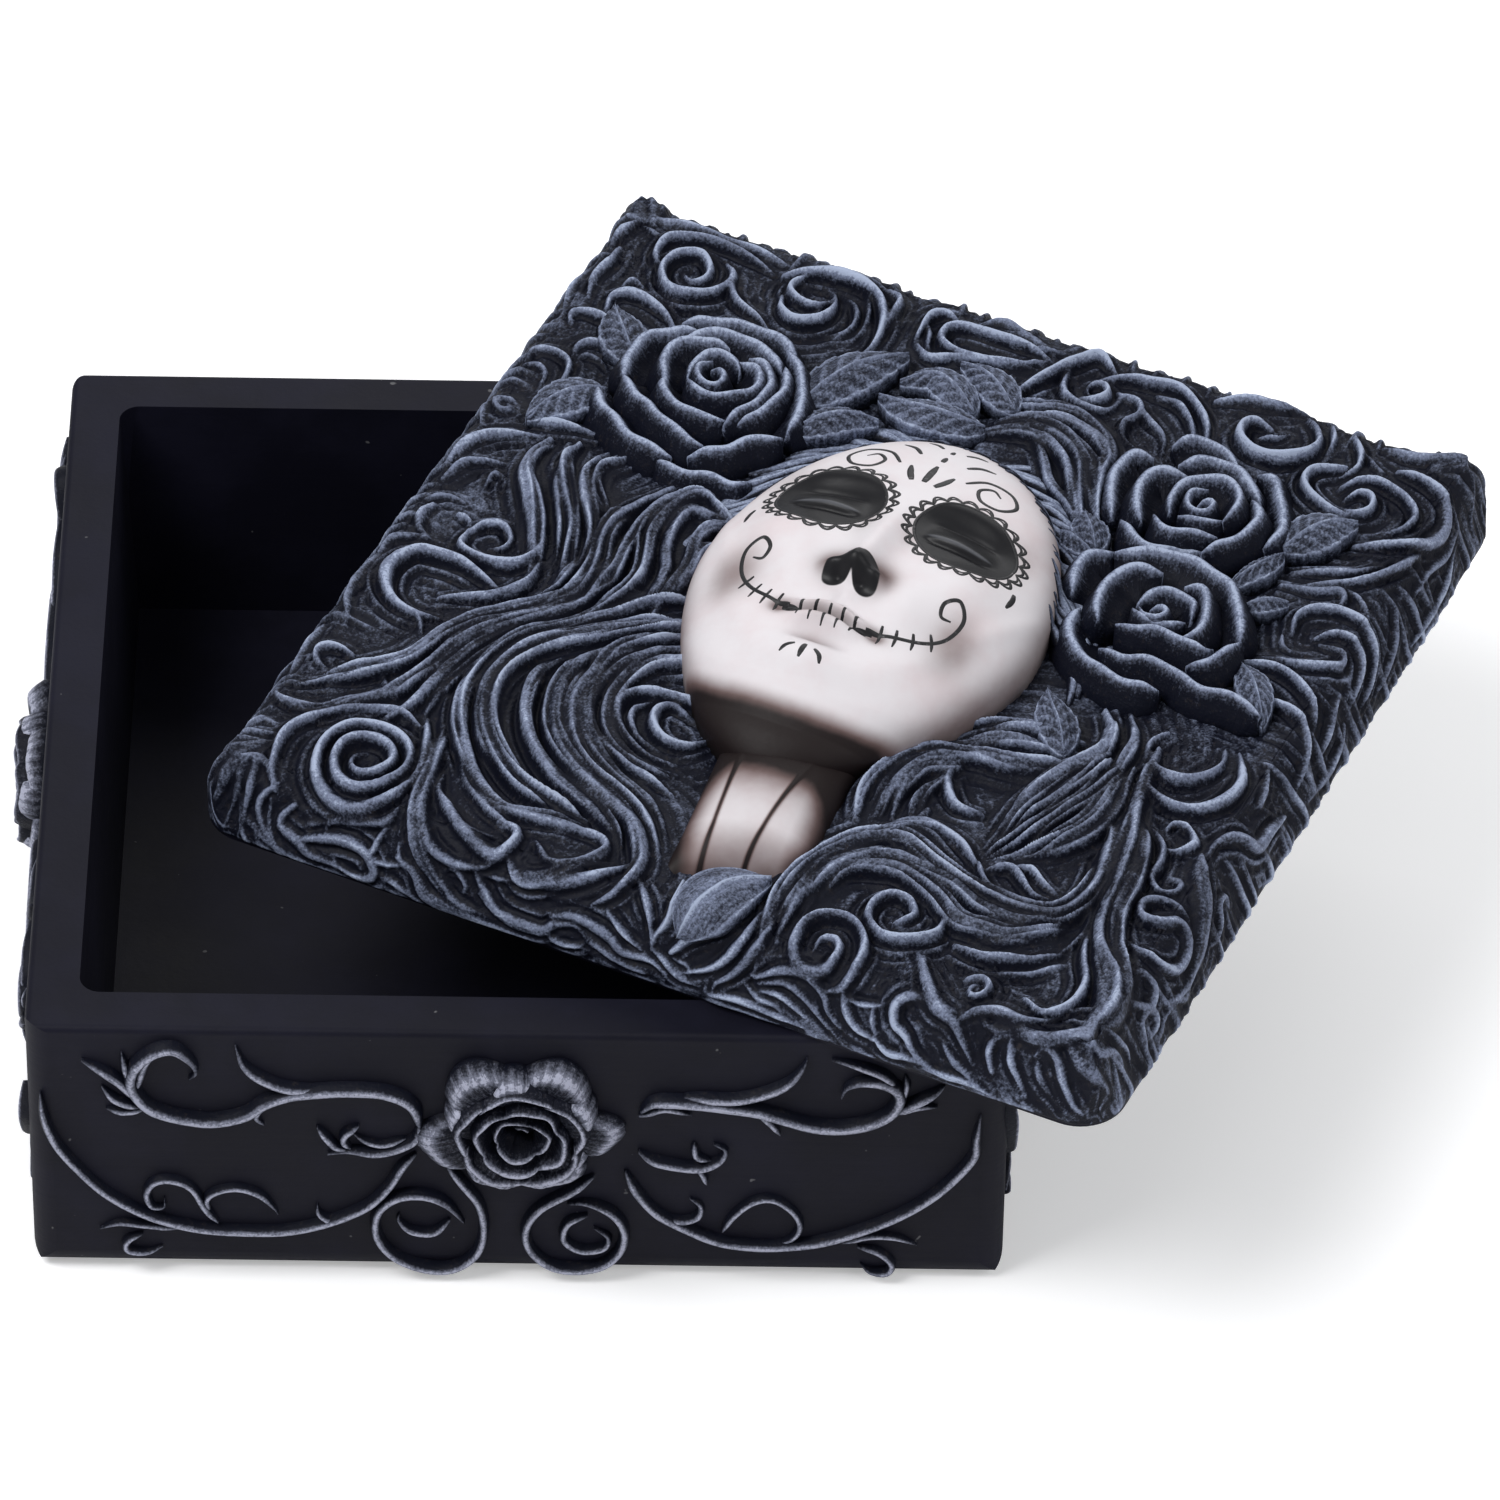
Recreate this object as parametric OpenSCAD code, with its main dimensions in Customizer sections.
// Trinket box: a square cast box with carved roses and scrolls on its walls, and a lift-off lid
// carved in high relief with a lady's head, roses, leaves, flowing hair and scroll curls.
// The lid lies turned across the open box and rests flat on its rim.
// Lengths are in millimetres. Origin at the middle of the base, +Z up, front towards -Y.

/* [Box] */
// Outer width and depth of the box
box_w = 140; // [100:1:180]
// Height from the table to the rim
box_h = 49; // [36:1:64]
// Wall thickness at the rim
wall_t = 7.5; // [5:0.5:10]
// Thickness of the floor
floor_t = 9.5; // [5:0.5:14]
// How much each inner wall leans in between rim and floor
draft_in = 2; // [0.5:0.25:3]
// Radius of the upright outer edges
edge_r = 3.5; // [2:0.5:6]
// Radius of the outer edges round the base
foot_r = 4; // [2:0.5:6]
// Radius of the outer edges round the rim
rim_r = 1; // [0.5:0.25:2]
// Radius of the upright inner corners
cavity_r = 3; // [2:0.5:5]

/* [Lid slab] */
// How far the lid stands out past the box on each side
lid_over = 3.5; // [2:0.5:8]
// Thickness of the lid up to the ground of the relief
lid_t = 11; // [8:0.5:15]
// Height of the upright band at the foot of the lid's sides
lid_band = 2; // [1:0.25:3]
// How far the lid's sides lean in above the band
lid_lean = 3.5; // [2:0.25:4.5]
// Width of the bevel round the lid's top
lid_bevel = 1.6; // [1:0.2:2]
// Corner radius of the lid
lid_r = 7; // [4:0.5:9]
// Set-back of the slab inside the carved fringe
slab_set_back = 1.4; // [1:0.2:2]
// Height of the four locating pegs under the lid
peg_h = 3; // [2:0.5:5]
// Diameter of the four locating pegs
peg_d = 8; // [5:0.5:9]
// Clearance between the pegs and the inner walls when the lid is on
peg_gap = 1; // [0.6:0.1:1.5]

/* [Where the lid lies] */
// Sideways shift of the lid's middle from the box's middle
lid_x = 47.9; // [46:0.1:50]
// Shift of the lid's middle towards the back
lid_y = 6.75; // [4:0.25:8]
// Turn of the lid seen from above, in degrees
lid_turn = -25; // [-27:0.25:-23]

/* [Relief] */
// Gap left between neighbouring carved pieces
relief_gap = 0.3; // [0.25:0.05:0.4]
// Length of one straight stretch of a carved strand
stretch = 8.5; // [5:0.5:9]
// Width of a strand's crest as a share of its foot
crest_share = 0.4; // [0.2:0.05:0.6]
// Width of a strand's tip as a share of its middle
tip_share = 0.4; // [0.2:0.05:0.6]
// Width of a curl's eye as a share of the curl
eye_share = 0.22; // [0.15:0.01:0.3]
// Straight stretches in one full turn of a curl
curl_steps = 6; // [5:1:10]

/* [Head] */
// Width of the head across the temples as a share of the lid's width
head_w_share = 0.358; // [0.33:0.002:0.364]
// Height of the head from chin to hairline as a share of the lid's width
head_l_share = 0.507; // [0.47:0.002:0.512]
// Rise of the brow and cheeks above the ground
head_h = 15; // [12:0.5:17]
// Rise of the head's side wall above the ground
head_side = 3; // [2:0.25:4]
// Rise of the nose above the face
nose_h = 4.2; // [3:0.2:5]
// Swell of the lips, chin and cheeks
face_swell = 1.1; // [0.6:0.1:1.6]
// Depth of the eye hollows
eye_depth = 4; // [2:0.25:5]
// Rise of the neck above the ground
neck_h = 8; // [6:0.5:9]
// Width of the neck as a share of the lid's width
neck_w_share = 0.135; // [0.11:0.005:0.14]

/* [Roses] */
// Height of the lid's roses above the ground
rose_h = 9.5; // [8:0.5:12]
// Height of the wall's roses
wall_rose_h = 5.5; // [4:0.5:7]
// Radius of the wall's roses as a share of the box's height
wall_rose_r_share = 0.294; // [0.25:0.002:0.3]
// Height of the wall roses' middle above the table as a share of the box's height
wall_rose_z_share = 0.64; // [0.6:0.002:0.65]
// Thickness of a petal as a share of the rose's radius
petal_share = 0.08; // [0.06:0.01:0.12]
// Step between overlapping petals as a share of the rose's radius
shingle_share = 0.125; // [0.1:0.005:0.16]
// How far a petal's ends lean in as a share of its height
lean_share = 0.1; // [0:0.02:0.2]
// Petals in the outer ring
petal_count = 5; // [4:1:6]

/* [Node] */
// Part to build

/* [Hidden] */
$fn = 48;
// the lid's width, and the mark in which the carving is laid out
lid_w = box_w + 2 * lid_over;
mark = lid_w / 148;
lid_half = lid_w / 2 - slab_set_back;
ground_half = lid_half - lid_lean - lid_bevel;
opening = box_w - 2 * wall_t;
peg_at = opening / 2 - peg_gap - peg_d / 2;
wall_flat = box_w / 2 - edge_r;
reach = 4 * box_w;
head_w = head_w_share * lid_w;
head_l = head_l_share * lid_w;
neck_w = neck_w_share * lid_w;
wall_rose_r = wall_rose_r_share * box_h;
wall_rose_z = wall_rose_z_share * box_h;
// the wall's ornament is laid out in marks along the wall and follows the box's height
wall_tall_share = 49.4;
wall_tall = box_h / (wall_tall_share * mark);
slope_rise = lid_t - lid_band - lid_bevel;
slope_tilt = atan(lid_lean / slope_rise);
slope_l = norm([lid_lean, slope_rise]);

// colours
black_resin = [0.13, 0.13, 0.15];
grey_relief = [0.42, 0.44, 0.50];
bone_white = [0.93, 0.90, 0.89];

// Layout of the head, neck and roses in marks from the lid's middle: [across, up, radius, turn]
head_at_shares = [2.5, -2.5];
neck_path_shares = [[7, -34], [8, -46], [9, -57], [9.5, -63.5]];
rose_upper_left_shares = [-38.5, 30.5, 15.5, 10];
rose_upper_right_shares = [38.5, 37.8, 12, 50];
rose_lower_right_shares = [43.3, 11.5, 13.8, -20];
wall_rose_turn = 18;

// A rose's rings from the outside in: [radius, height, petals, turn, ribs left out], and its core
// and heart: [height, foot radius, top radius]
ring_shares = [[1, 0.62, petal_count, 0, 0], [0.68, 0.84, 4, 40, 0], [0.4, 0.96, 3, 10, 1]];
core_shares = [0.45, 0.84, 0.4];
heart_shares = [1, 0.16, 0.1];
petal_ends_share = 0.6;
petal_lip_share = 0.1;
petal_lap_share = 1.3;

// A leaf's first and last width, and the height of its edge
leaf_ends_shares = [0.08, 0.96];
leaf_edge_share = 0.45;

// The head's jaw and dome, and its features: [across, up, half width, half height] of the head
jaw_share = 0.17;
jaw_power = 1.5;
dome_power = 2.6;
dome_root = 0.55;
nose_tip_shares = [0, -0.13, 0.075, 0.055];
nose_bridge_shares = [0, -0.04, 0.055, 0.08];
eye_shares = [0.2, 0.08, 0.12, 0.07];
lips_shares = [0, -0.285, 0.13, 0.03];
chin_shares = [0, -0.43, 0.12, 0.05];
cheek_shares = [0.28, -0.1, 0.12, 0.08];
bridge_share = 0.6;
chin_share = 1.3;

// The neck's half width at its top, its growth from rib to rib, and the height of its sides
neck_top_share = 0.92;
neck_flare_share = 0.05;
neck_side_share = 0.25;
neck_side_count = 6;

// Leaves in marks: [[half width, height], foot, middle, tip]
leaves_left_shares = [
    [[4.4, 5], [-53.5, 37], [-57.5, 40.5], [-61.5, 47]],
    [[5, 5], [-53.5, 25], [-58, 21], [-63, 14.5]]
];
leaves_brow_shares = [
    [[4.6, 5.5], [-29.5, 43.5], [-23, 46], [-16, 52]],
    [[4, 5.5], [-3, 42], [-8, 42], [-16, 40]],
    [[2.8, 4.5], [-13.5, 50.5], [-6, 50.7], [2, 52]],
    [[3.2, 5.5], [-22, 27], [-18, 31], [-12, 35.5]]
];
leaves_right_shares = [
    [[4.2, 5], [50.5, 37.5], [54, 42.5], [57, 48.5]],
    [[2.7, 5.5], [27.5, 20], [26, 25], [22.5, 30]],
    [[3.2, 5], [56.5, 12.5], [60.5, 8], [63, 2]],
    [[2.8, 4.5], [53.5, 24], [56.5, 26.5], [59.5, 30]],
    [[2.8, 4.5], [34, -4], [38, -7], [42.5, -12]]
];
leaf_throat_shares = [
    [[4, 5], [10.5, -61.5], [9, -65], [6, -68.4]]
];

// Strands in marks: [[width, height], points along the strand]. A curl among the points is laid
// by its centre, radius, turns (clockwise ones below zero) and the angle at which it starts
hair_left_shares = [
    [[5, 4.2], [-59, 12], [-53, 3], [-47.5, -8], [-46.5, -18], [-50, -28], [-56, -38], [-66, -45]],
    [[4.6, 3.8], [-54, 12], [-48.5, 4], [-44, -6], [-43, -16], [-46, -27], [-51, -38], [-58, -46],
        [-67, -50]],
    [[5.2, 4.6], [-48, 14], [-44, 4], [-40, -8], [-40, -18], [-44, -28], [-46, -38], [-43, -48],
        [-36, -56], [-28, -61]],
    [[5, 4.8], [-42, 13], [-38, 3], [-35, -8], [-37, -18], [-41, -28], [-42, -38], [-38, -48],
        [-30, -54], [-20, -57]],
    [[4.8, 5.2], [-35, 12], [-33, 2], [-31, -8], [-33, -17], [-37, -26], [-38, -36], [-33, -46],
        [-24, -52], [-14, -55], [-8, -60], [-9, -66], [-18, -68.5]],
    [[4.4, 5], [-29, 11], [-28, 0], [-28, -12], [-31, -22], [-33, -32], [-29, -41], [-20, -48],
        [-11, -51.5], [-5, -57]],
    [[4, 4.6], [-25, -14], [-28, -26], [-27, -35], [-21, -42], [-12, -46], [-6, -50]],
    [[3.6, 4.4], [-22, -20], [-24, -29], [-22, -36], [-15, -41.5], [-7, -44]],
    [[3.4, 3.6], [-42, -55], [-38, -62], [-32, -66.5], [-26, -66.5], [-26, -62], [-33, -61]],
    [[3.4, 4.6], [-23, -24], [-15.5, -34.5, 7, 1.5, 165]]
];
hair_right_shares = [
    [[4.8, 4.6], [43, -1], [44.5, -10], [43, -20], [40.5, -30], [39, -38]],
    [[5, 4.8], [48, -2], [49, -12], [48, -24], [46, -34], [41, -41]],
    [[4.6, 4.8], [51.5, -4], [53, -14], [53.5, -26], [55, -38], [53, -45.5], [46, -48.5], [38, -45.5],
        [32, -42], [24, -42], [18.5, -47], [16.5, -56], [16, -68]],
    [[4.4, 4.2], [54, -8], [55.5, -20], [57, -32], [58.5, -44], [60, -54], [56.5, -61], [51, -59]],
    [[4, 3.8], [56, -12], [58, -24], [60, -36], [63, -47], [65, -56], [61, -64], [53, -66]],
    [[4.4, 4.6], [38, -11], [31, -13], [24.5, -18], [20, -25], [18.5, -33], [21, -39]],
    [[4, 4.2], [40, -16], [32, -19], [26, -23], [23.5, -30], [25, -37]],
    [[3.8, 4], [41, -56], [48, -55], [54, -51], [57, -45]],
    [[4, 4.2], [21, -50], [20, -58], [21.5, -68]],
    [[3.2, 4], [32, -28, 4.6, 0.9, 120]],
    [[3.4, 4.4], [46, -40.5, 4.8, 0.9, 200]],
    [[3, 4.2], [31, -56, 6.2, 1.5, 60]],
    [[2.8, 3.8], [28, -64.5, 3.6, 1.1, 30]],
    [[2.6, 3.6], [46, -64, 3.8, 1.2, 200]]
];
hair_crown_shares = [
    [[3.6, 5], [-3.5, 44], [4, 47.5], [12, 48.5], [19, 45], [22, 39], [25, 32.5]],
    [[3.6, 5.6], [-2, 40.5], [5, 43.8], [12, 44], [17, 40], [20, 34], [24, 28]],
    [[3.6, 5.6], [-1, 37.5], [6, 40], [12, 39.5], [16, 35], [20, 29], [23.5, 23]],
    [[3, 5.2], [9, 37.5], [13, 34.5], [17, 29.5], [21.5, 22.5]]
];
scrolls_top_shares = [
    [[2.8, 3], [-62, 62], [-61, 56], [-55, 50.5], [-48, 51.5], [-44, 50]],
    [[2.8, 3.4], [-42, 53], [-44, 60], [-40, 65], [-32, 66], [-26, 61], [-24, 55]],
    [[2.4, 3], [-25, 67], [-21, 61], [-22, 55]],
    [[2.6, 3.2], [-2, 62], [-10, 64.5], [-15, 61], [-11, 57.5], [-2, 58.5], [6, 61], [9, 66]],
    [[2.6, 3.2], [12, 64], [19, 66], [26, 63], [30, 56.5]],
    [[2.4, 3], [16, 61], [20, 58], [18, 53], [23, 50.5]],
    [[2.4, 3], [51, 67], [53, 61], [51.5, 56]],
    [[3, 3.6], [57, 62.5], [64, 61.5], [67, 56], [65.5, 49], [59, 45]],
    [[2.8, 2.8], [-66, 66], [-57, 66.5], [-48, 64], [-46, 58]],
    [[2.4, 3.4], [-54.5, 56.5, 5, 1.2, 0]],
    [[2.6, 3.6], [-36, 58.5, 5.4, 1.3, 300]],
    [[2.4, 3.2], [10, 58, 4.2, 1.1, 40]],
    [[2.6, 3.4], [40, 60.5, 5.6, 1.1, 60]],
    [[2.4, 3.4], [55.5, 54, 4.8, 1.3, 20]]
];
scrolls_left_shares = [
    [[2.6, 3], [-67, 40], [-62, 40], [-58, 34]],
    [[2.4, 2.8], [-66.5, 32], [-63, 34], [-60, 30]],
    [[2.4, 2.8], [-67, 27], [-65, 23], [-67, 19]],
    [[3, 3.2], [-63, 6], [-66, -1], [-65, -8], [-61, -13]],
    [[3.8, 3.6], [-51, -18], [-58, -16.5], [-64, -19], [-65, -25], [-60, -28], [-54.5, -27]],
    [[2.4, 2.8], [-66.5, -14], [-67.5, -23], [-66.5, -33]],
    [[2.8, 3], [-67, -64], [-62, -58], [-61.5, -52.5]],
    [[2.4, 3], [-67, -56], [-66, -62], [-67, -68]],
    [[2, 2.8], [-65, 14, 2.6, 0.9, 90]],
    [[3, 3.6], [-55.5, -8.5, 6.6, 1.3, 130]],
    [[2, 2.8], [-65, -39, 2.4, 0.9, 0]],
    [[2.8, 3.4], [-51.5, -58.5, 9.6, 2, 60]]
];
scrolls_right_shares = [
    [[2.8, 3.2], [67, 47], [64.5, 39.5], [58, 35.5], [52, 33.5]],
    [[2.6, 3], [67.5, 38], [66, 31], [62, 33.5], [57, 32]],
    [[2.8, 3.2], [56, 16.5], [62, 15.5], [66.5, 10], [67, 1]],
    [[2.8, 3.2], [59, -1], [62.5, -8], [61, -15], [57, -17.5]],
    [[2.6, 3], [66, -2], [67, -12], [63.5, -18], [66, -26], [67.5, -34]],
    [[2.6, 3.4], [63, 24, 5, 1.1, 100]],
    [[3, 3.6], [55.5, -5, 3.6, 0.9, 60]],
    [[2.2, 3], [62, -24.5, 2.6, 0.9, 0]],
    [[2.4, 3.2], [65.5, -41, 3.6, 1.1, 180]]
];
scrolls_bottom_shares = [
    [[2.6, 3], [-38, -66.5], [-30, -68], [-22, -66.5]],
    [[2.4, 3], [-16, -61], [-11, -63], [-17, -65]],
    [[2.6, 3], [-4, -61], [-1, -65], [0, -68]],
    [[2.6, 3], [33, -65], [38, -62], [41, -66.5], [38, -68]],
    [[2.6, 3], [50, -68], [56, -66], [66, -66]]
];

// Zones in marks: the outline inside which each group of strands is cut to stay
hair_left_zone_shares = [[-62, 13], [-53, 11.5], [-25, 11.5], [-20, 12], [-18, -28], [-5, -37], [-3, -68.2],
    [-34, -68.2], [-42, -62], [-39.5, -52],
    [-45, -47.5], [-60, -50], [-68.2, -53], [-68.2, -42.5], [-57, -33], [-49.5, -22],
    [-47, -10], [-52, -1], [-62, 8]];
hair_right_zone_shares = [[30, 0], [56, 0], [56, -8], [59, -20], [60.5, -34], [62, -43], [67, -52], [67, -60],
    [62, -66], [44, -68.2], [14, -68.2], [14, -30], [25, -9]];
hair_crown_zone_shares = [[-5, 36], [-5.5, 46.5], [4, 49.8], [13, 51], [21, 47.5], [26.5, 35], [26.5, 24],
    [20, 22], [12, 30]];
scrolls_top_zone_shares = [[-68.2, 48.5], [-44, 48.5], [-20, 53], [30, 53], [44, 46], [68.2, 43],
    [68.2, 68.2], [-68.2, 68.2]];
scrolls_left_zone_shares = [[-68.2, 48.2], [-44, 48.2], [-46, 20], [-62, 12.5], [-40, -10], [-40, -68.2],
    [-68.2, -68.2]];
scrolls_right_zone_shares = [[50, 42.7], [68.2, 42.7], [68.2, -68.2], [50, -68.2]];
scrolls_bottom_zone_shares = [[-39.7, -50], [49.7, -50], [68.2, -65.5], [68.2, -68.2], [-39.7, -68.2]];

// Strokes of the fringe on one sloping side: along the edge and up the slope
fringe_shares = [
    [[2.4, 1.5], [-6, 0.8], [-3.6, 5], [2.4, 6.4]],
    [[2, 1.4], [-0.4, 0.8], [1.8, 3.2], [5.4, 3.4]]
];
fringe_pitch_share = 12.6;
fringe_count = 4;

// Half of a wall's ornament in marks from the middle of the wall's foot; the other half mirrors it
wall_scrolls_shares = [
    [[2.8, 2.6], [14.5, 36], [22, 38], [31, 35.5], [40, 32], [48, 31], [53.5, 37.3, 5.8, 1.2, -95]],
    [[2.8, 2.6], [39, 44], [30, 42], [22, 37.5], [18.3, 32], [22.5, 28, 4.2, 0.9, 180]],
    [[3.2, 3], [64, 36], [62.5, 24], [56, 13.5], [47, 8.5], [37, 8.5], [28, 12], [18.5, 19]],
    [[2.4, 2.4], [57.5, 13.5], [52.2, 19.5, 4.6, 1.1, -10]],
    [[2.4, 2.4], [44, 9.5], [39, 18.5, 4.8, 1.2, -10]],
    [[2.6, 2.8], [31, 8], [22, 6], [9.3, 10.7, 4.9, -1.3, -80]],
    [[2.2, 2.2], [46, 5.6], [54, 5.6], [60, 8], [63.5, 13]],
    [[2.2, 2.2], [55, 45], [61, 44.5], [64.5, 40]]
];

// ---- helpers

// a smooth line through the given points, cut into stretches of about the named length
function cubic(a, b, c, d, t) = 0.5 * ((2 * b) + (c - a) * t + (2 * a - 5 * b + 4 * c - d) * t * t
    + (3 * b - a - 3 * c + d) * t * t * t);
function spans(p, i, l) = max(1, round(norm(p[i + 1] - p[i]) * mark / l));
function smooth(p, l) = let (n = len(p)) concat(
    [for (i = [0 : n - 2]) let (k = spans(p, i, l)) for (j = [0 : k - 1])
        cubic(p[max(0, i - 1)], p[i], p[i + 1], p[min(n - 1, i + 2)], j / k)],
    [p[n - 1]]);

// a curl that winds in from its radius to its eye
function curl(c) = let (n = ceil(abs(c[3]) * curl_steps)) [for (i = [0 : n]) let (
    a = c[4] + 360 * c[3] * i / n, r = c[2] * (1 - (1 - eye_share) * i / n))
    [c[0] + r * cos(a), c[1] + r * sin(a)]];

// a strand's whole path: its points, with each curl among them wound out
function path(s) = smooth([for (i = [1 : len(s) - 1]) each len(s[i]) == 2 ? [s[i]] : curl(s[i])], stretch);

// the section of a strand at point i: a flat foot and a narrower crest
function along(p, i) = let (d = p[min(len(p) - 1, i + 1)] - p[max(0, i - 1)]) d / norm(d);
function swell(p, i) = let (s = i / (len(p) - 1)) min(1, tip_share + 3 * s, tip_share + 3 * (1 - s));
function section(p, i, w, h) = let (d = along(p, i), n = [-d[1], d[0]], k = swell(p, i), a = k * w / 2,
    b = a * crest_share, z = h * (1 + k) / 2 * mark, q = p[i]) [
    [(q[0] - n[0] * a) * mark, (q[1] - n[1] * a) * mark, 0],
    [(q[0] + n[0] * a) * mark, (q[1] + n[1] * a) * mark, 0],
    [(q[0] + n[0] * b) * mark, (q[1] + n[1] * b) * mark, z],
    [(q[0] - n[0] * b) * mark, (q[1] - n[1] * b) * mark, z]];

// the faces of a row of n ribs with k points each, closed at both ends
function row_faces(n, k) = concat(
    [for (j = [1 : k - 2]) [0, j, j + 1]],
    [for (j = [1 : k - 2]) [0, j + 1, j] + [1, 1, 1] * (n - 1) * k],
    [for (i = [0 : n - 2], j = [0 : k - 1]) let (a = i * k + j, b = i * k + (j + 1) % k)
        each [[a, a + k, b + k], [a, b + k, b]]]);

module row(ribs) {
    polyhedron([for (r = ribs) each r], row_faces(len(ribs), len(ribs[0])));
}

// a finer stroke has a sharp crest: the section is a ridge
function ridge(p, i, w, h) = let (q = section(p, i, w, h)) [q[0], q[1], (q[2] + q[3]) / 2];

module strokes(list, tall = 1) {
    for (s = list) {
        p = [for (q = path(s)) [q[0], q[1] * tall]];
        row([for (i = [0 : len(p) - 1]) ridge(p, i, s[0][0], s[0][1])]);
    }
}

module strands(list) {
    for (s = list) {
        p = path(s);
        row([for (i = [0 : len(p) - 1]) section(p, i, s[0][0], s[0][1])]);
    }
}

// a leaf: a pointed oval that rises to a midrib
function leaf_path(s) = smooth([s[1], s[2], s[3]], stretch / 2);
function leaf_half(i, n) = let (a = leaf_ends_shares[0], b = leaf_ends_shares[1])
    sin(180 * (a + (b - a) * i / n));
function leaf_rib(p, i, w, h) = let (d = along(p, i), n = [-d[1], d[0]], k = leaf_half(i, len(p) - 1),
    a = k * w, q = p[i], z = h * mark) [
    [(q[0] - n[0] * a) * mark, (q[1] - n[1] * a) * mark, 0],
    [(q[0] + n[0] * a) * mark, (q[1] + n[1] * a) * mark, 0],
    [(q[0] + n[0] * a) * mark, (q[1] + n[1] * a) * mark, z * leaf_edge_share],
    [(q[0]) * mark, (q[1]) * mark, z * (1 - leaf_edge_share + leaf_edge_share * k)],
    [(q[0] - n[0] * a) * mark, (q[1] - n[1] * a) * mark, z * leaf_edge_share]];

module leaf(s) {
    p = leaf_path(s);
    row([for (i = [0 : len(p) - 1]) leaf_rib(p, i, s[0][0], s[0][1])]);
}

module leaf_plan(list, grow) {
    for (s = list) {
        p = leaf_path(s);
        for (i = [0 : len(p) - 2]) hull() {
            translate(p[i] * mark) circle(s[0][0] * leaf_half(i, len(p) - 1) * mark + grow, $fn = 12);
            translate(p[i + 1] * mark) circle(s[0][0] * leaf_half(i + 1, len(p) - 1) * mark + grow, $fn = 12);
        }
    }
}

// a petal: a curved wall that opens outwards along its length, highest at its middle
function petal_rib(r, h, t, a, k) = let (c = [cos(a), sin(a)],
    o = r - lean_share * h * (1 - k)) [
    [r * c[0], r * c[1], 0],
    [(r - t) * c[0], (r - t) * c[1], 0],
    [(o - t) * c[0], (o - t) * c[1], h * (petal_ends_share - petal_lip_share + (1 - petal_ends_share) * k)],
    [o * c[0], o * c[1], h * (petal_ends_share + (1 - petal_ends_share) * k)]];

// a ring of petals laid like shingles, each one starting inside the end of the last; wide is the
// radius of the whole rose
module petal_ring(r, h, wide, count, turn, n) {
    for (k = [0 : count - 1]) row([for (i = [0 : n]) petal_rib(r - shingle_share * wide * (1 - i / n), h,
        petal_share * wide, turn + 360 * (k + petal_lap_share * i / n) / count, sin(180 * i / n))]);
}

// a rose: three rings of petals round a coiled heart, fitted to its radius and height
module rose(r, h, turn, ribs) {
    resize([2 * r, 2 * r, h]) {
        cylinder(h * core_shares[0], r * core_shares[1], r * core_shares[2], $fn = 8);
        for (k = ring_shares) petal_ring(r * k[0], h * k[1], r, k[2], turn + k[3], ribs - k[4]);
        cylinder(h * heart_shares[0], r * heart_shares[1], r * heart_shares[2], $fn = 7);
    }
}

module rose_plan(at, grow) {
    translate([at[0], at[1]] * mark) circle(at[2] * mark + grow, $fn = 60);
}

// the head's outline and rise: an egg that narrows to the chin, with brow, nose, cheeks, lips and chin
head_ring_count = 9;
head_sector_count = 28;
function head_x(s, a) = s * head_w / 2 * cos(a) * (1 - jaw_share * pow(max(0, -sin(a)), jaw_power));
function head_y(s, a) = s * head_l / 2 * sin(a);
function bump(x, y, f, side = 1) = exp(-pow((x / head_w - side * f[0]) / f[2], 2)
    - pow((y / head_l - f[1]) / f[3], 2));
function head_z(s, a) = let (x = head_x(s, a), y = head_y(s, a))
    head_side + (head_h - head_side) * pow(1 - pow(s, dome_power), dome_root)
    + nose_h * (bump(x, y, nose_tip_shares) + bridge_share * bump(x, y, nose_bridge_shares))
    - eye_depth * (bump(x, y, eye_shares) + bump(x, y, eye_shares, -1))
    + face_swell * (bump(x, y, lips_shares) + chin_share * bump(x, y, chin_shares))
    + face_swell * (bump(x, y, cheek_shares) + bump(x, y, cheek_shares, -1));
function head_turn(j) = 360 * j / head_sector_count;
function ring_point(i, j) = let (s = sin(90 * i / head_ring_count), a = head_turn(j))
    [head_x(s, a), head_y(s, a), head_z(s, a)];
function head_foot(j) = [head_x(1, head_turn(j)), head_y(1, head_turn(j)), 0];

module head_block() {
    m = head_sector_count;
    points = concat([[0, 0, head_z(0, 0)]],
        [for (i = [1 : head_ring_count]) for (j = [0 : m - 1]) ring_point(i, j)],
        [for (j = [0 : m - 1]) head_foot(j)]);
    faces = concat(
        [for (j = [0 : m - 1]) [0, 1 + (j + 1) % m, 1 + j]],
        [for (i = [0 : head_ring_count - 1]) for (j = [0 : m - 1])
            let (a = 1 + i * m + j, b = 1 + i * m + (j + 1) % m) [a, b, b + m]],
        [for (i = [0 : head_ring_count - 1]) for (j = [0 : m - 1])
            let (a = 1 + i * m + j, b = 1 + i * m + (j + 1) % m) [a, b + m, a + m]],
        [[for (j = [0 : m - 1]) 1 + head_ring_count * m + j]]);
    polyhedron(points, faces);
}

module head_plan(grow) {
    translate(head_at_shares * mark) offset(delta = grow)
        polygon([for (j = [0 : head_sector_count - 1]) [head_x(1, head_turn(j)), head_y(1, head_turn(j))]]);
}

// the neck: a half-round column that widens a little towards the collar
function neck_half(i) = neck_w / 2 * (neck_top_share + neck_flare_share * i);
function neck_rise(k) = k % neck_side_count == 0 ? 0
    : neck_h * (neck_side_share + (1 - neck_side_share) * sin(180 * k / neck_side_count));
function neck_rib(i) = let (q = neck_path_shares[i] * mark, w = neck_half(i))
    [for (k = [0 : neck_side_count]) [q[0] - w * cos(180 * k / neck_side_count), q[1], neck_rise(k)]];

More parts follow.
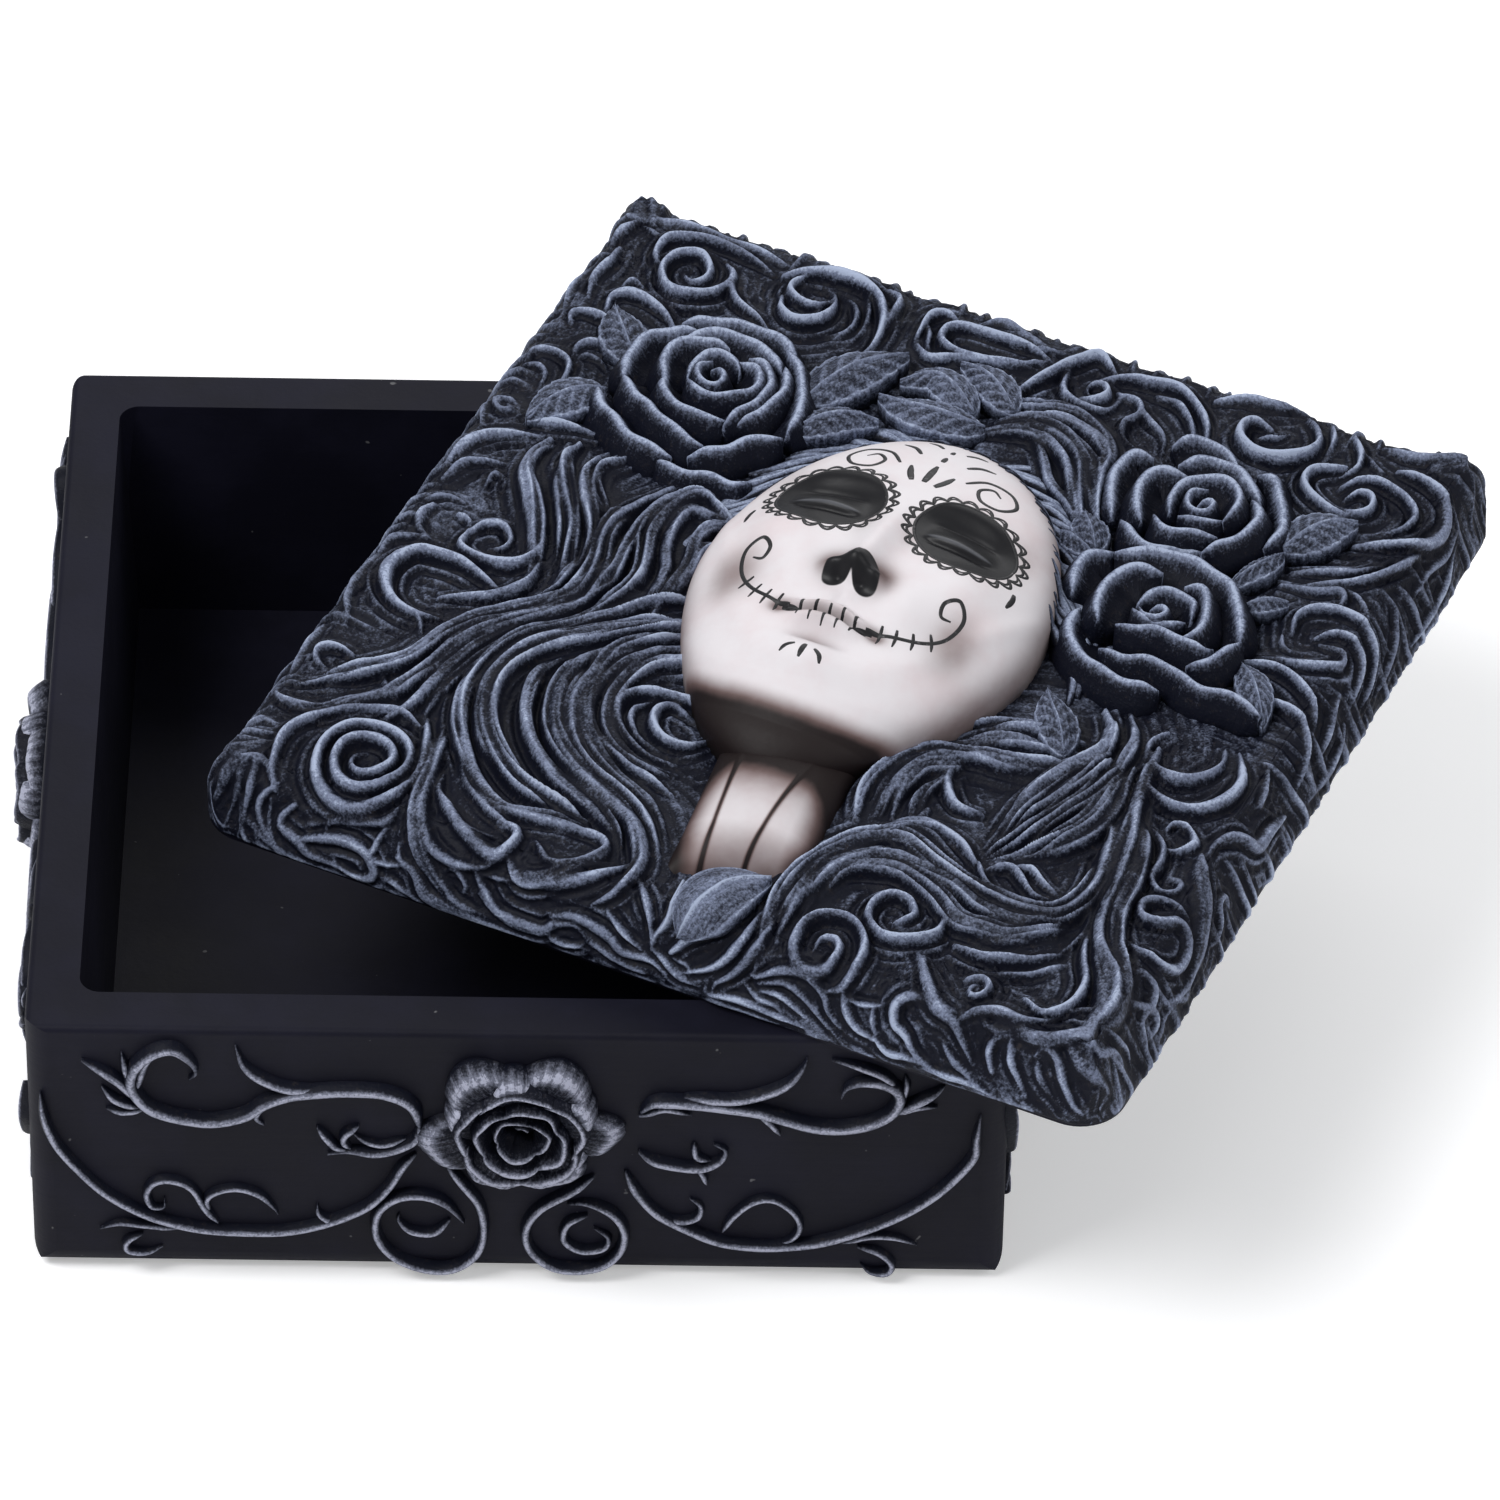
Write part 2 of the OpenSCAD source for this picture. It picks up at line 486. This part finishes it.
module neck_block() {
    row([for (i = [0 : len(neck_path_shares) - 1]) neck_rib(i)]);
}

module neck_plan(grow) {
    n = len(neck_path_shares) - 1;
    offset(delta = grow) polygon([for (k = [-1, 1]) for (i = [0 : n]) let (j = k < 0 ? i : n - i)
        [neck_path_shares[j][0] * mark + k * neck_half(j), neck_path_shares[j][1] * mark]]);
}

module column() {
    translate([0, 0, -reach / 2]) linear_extrude(reach) children();
}

module zone(list) {
    column() offset(delta = -relief_gap / 2) polygon(list * mark);
}

// ---- the box

module rounded_square(w, r) {
    square([w - 2 * r, w], center = true);
    square([w, w - 2 * r], center = true);
    for (x = [-1, 1], y = [-1, 1]) translate([x, y] * (w / 2 - r)) circle(r);
}

// the wall's outline seen from the side: rounded at the foot and at the rim
module side_outline() {
    translate([-box_w / 2, foot_r]) square([box_w, box_h - foot_r - rim_r]);
    translate([foot_r - box_w / 2, 0]) square([box_w - 2 * foot_r, foot_r]);
    translate([rim_r - box_w / 2, box_h - rim_r]) square([box_w - 2 * rim_r, rim_r]);
    for (x = [-1, 1]) {
        translate([x * (box_w / 2 - foot_r), foot_r]) circle(foot_r);
        translate([x * (box_w / 2 - rim_r), box_h - rim_r]) circle(rim_r);
    }
}

module across(w) {
    rotate([90, 0, 0]) translate([0, 0, -w / 2]) linear_extrude(w) children();
}

// the inner walls lean in from the rim to the floor
module cavity_outline() {
    over = box_h - floor_t;
    polygon([[draft_in - opening / 2, floor_t], [opening / 2 - draft_in, floor_t],
        [opening / 2 + draft_in, floor_t + 2 * over], [-opening / 2 - draft_in, floor_t + 2 * over]]);
}

module cavity() {
    intersection() {
        linear_extrude(2 * box_h) rounded_square(opening, cavity_r);
        across(reach) cavity_outline();
        rotate([0, 0, 90]) across(reach) cavity_outline();
    }
}

module box_body() {
    color(black_resin) difference() {
        intersection() {
            linear_extrude(box_h) rounded_square(box_w, edge_r);
            across(2 * box_w) side_outline();
            rotate([0, 0, 90]) across(2 * box_w) side_outline();
        }
        cavity();
    }
}

// stands its children on a wall: x along the wall, y up it, z out of it
module on_wall(turn) {
    rotate([0, 0, turn]) translate([0, -box_w / 2, 0]) rotate([90, 0, 0]) children();
}

module wall_rose(turn) {
    color(grey_relief) on_wall(turn) translate([0, wall_rose_z, 0])
        rose(wall_rose_r, wall_rose_h, wall_rose_turn, 3);
}

module wall_scrolls(turn) {
    color(grey_relief) on_wall(turn) difference() {
        intersection() {
            union() {
                for (m = [0, 1]) mirror([m, 0, 0]) strokes(wall_scrolls_shares, wall_tall);
            }
            column() translate([-wall_flat, foot_r]) square([2 * wall_flat, box_h - foot_r - rim_r]);
        }
        column() translate([0, wall_rose_z]) circle(wall_rose_r + relief_gap);
    }
}

module front_rose() { wall_rose(0); }
module right_rose() { wall_rose(90); }
module back_rose() { wall_rose(180); }
module left_rose() { wall_rose(270); }
module front_scrolls() { wall_scrolls(0); }
module right_scrolls() { wall_scrolls(90); }
module back_scrolls() { wall_scrolls(180); }
module left_scrolls() { wall_scrolls(270); }

// ---- the lid

module on_lid(rise) {
    translate([lid_x, lid_y, box_h]) rotate([0, 0, lid_turn]) translate([0, 0, rise]) children();
}

// sides that lean in above the band, then a bevel up to the ground of the relief
module lid_slab() {
    color(black_resin) on_lid(0) difference() {
        linear_extrude(lid_t) rounded_square(2 * lid_half, lid_r);
        for (a = [0 : 90 : 270]) rotate([0, 0, a]) {
            translate([lid_half, 0, lid_band]) rotate([0, -slope_tilt, 0]) translate([0, -lid_w, 0])
                cube([lid_w, 2 * lid_w, 2 * lid_t]);
            translate([ground_half, 0, lid_t]) rotate([0, 45, 0]) translate([0, -lid_w, 0])
                cube([2 * lid_t, 2 * lid_w, lid_t]);
        }
    }
}

module lid_pegs() {
    color(black_resin) on_lid(-peg_h) for (x = [-1, 1], y = [-1, 1])
        translate([x * peg_at, y * peg_at, 0]) cylinder(peg_h, peg_d / 2, peg_d / 2);
}

module head() {
    color(bone_white) on_lid(lid_t) translate(head_at_shares * mark) head_block();
}

module neck() {
    color(bone_white) on_lid(lid_t) difference() {
        neck_block();
        column() head_plan(relief_gap);
    }
}

module lid_rose(at) {
    color(grey_relief) on_lid(lid_t) translate([at[0], at[1], 0] * mark) rose(at[2] * mark, rose_h, at[3], 4);
}

module rose_upper_left() { lid_rose(rose_upper_left_shares); }
module rose_upper_right() { lid_rose(rose_upper_right_shares); }
module rose_lower_right() { lid_rose(rose_lower_right_shares); }

module flower_keep() {
    column() {
        head_plan(relief_gap);
        neck_plan(relief_gap);
        rose_plan(rose_upper_left_shares, relief_gap);
        rose_plan(rose_upper_right_shares, relief_gap);
        rose_plan(rose_lower_right_shares, relief_gap);
    }
}

module leaf_keep() {
    column() {
        leaf_plan(leaves_left_shares, relief_gap);
        leaf_plan(leaves_brow_shares, relief_gap);
        leaf_plan(leaves_right_shares, relief_gap);
        leaf_plan(leaf_throat_shares, relief_gap);
    }
}

module leaves(list) {
    color(grey_relief) on_lid(lid_t) difference() {
        union() for (s = list) leaf(s);
        flower_keep();
    }
}

module leaves_left() { leaves(leaves_left_shares); }
module leaves_brow() { leaves(leaves_brow_shares); }
module leaves_right() { leaves(leaves_right_shares); }
module leaf_throat() { leaves(leaf_throat_shares); }

// a group of strands and curls, cut to its zone and clear of the flowers and leaves
module locks(lines, outline) {
    color(grey_relief) on_lid(lid_t) difference() {
        intersection() {
            strands(lines);
            zone(outline);
        }
        flower_keep();
        leaf_keep();
    }
}

module scrolls(lines, outline) {
    color(grey_relief) on_lid(lid_t) difference() {
        intersection() {
            strands(lines);
            zone(outline);
        }
        flower_keep();
        leaf_keep();
        column() offset(delta = relief_gap) {
            polygon(hair_left_zone_shares * mark);
            polygon(hair_right_zone_shares * mark);
            polygon(hair_crown_zone_shares * mark);
        }
    }
}

module hair_left() { locks(hair_left_shares, hair_left_zone_shares); }
module hair_right() { locks(hair_right_shares, hair_right_zone_shares); }
module hair_crown() { locks(hair_crown_shares, hair_crown_zone_shares); }
module scrolls_top() { scrolls(scrolls_top_shares, scrolls_top_zone_shares); }
module scrolls_left() { scrolls(scrolls_left_shares, scrolls_left_zone_shares); }
module scrolls_right() { scrolls(scrolls_right_shares, scrolls_right_zone_shares); }
module scrolls_bottom() { scrolls(scrolls_bottom_shares, scrolls_bottom_zone_shares); }

// strokes that climb the lid's sloping side: x along the edge, y up the slope
module fringe(turn) {
    color(grey_relief) on_lid(0) rotate([0, 0, turn]) translate([0, -lid_half, lid_band])
        rotate([90 - slope_tilt, 0, 0]) intersection() {
            union() for (k = [-fringe_count : fringe_count])
                translate([k * fringe_pitch_share * mark, 0, 0]) strokes(fringe_shares);
            column() translate([-lid_w / 2, 0]) square([lid_w, slope_l]);
        }
}

module fringe_front() { fringe(0); }
module fringe_right() { fringe(90); }
module fringe_back() { fringe(180); }
module fringe_left() { fringe(270); }

box_body();
front_rose();
right_rose();
back_rose();
left_rose();
front_scrolls();
right_scrolls();
back_scrolls();
left_scrolls();
lid_slab();
lid_pegs();
head();
neck();
rose_upper_left();
rose_upper_right();
rose_lower_right();
leaves_left();
leaves_brow();
leaves_right();
leaf_throat();
hair_left();
hair_right();
hair_crown();
scrolls_top();
scrolls_left();
scrolls_right();
scrolls_bottom();
fringe_front();
fringe_right();
fringe_back();
fringe_left();
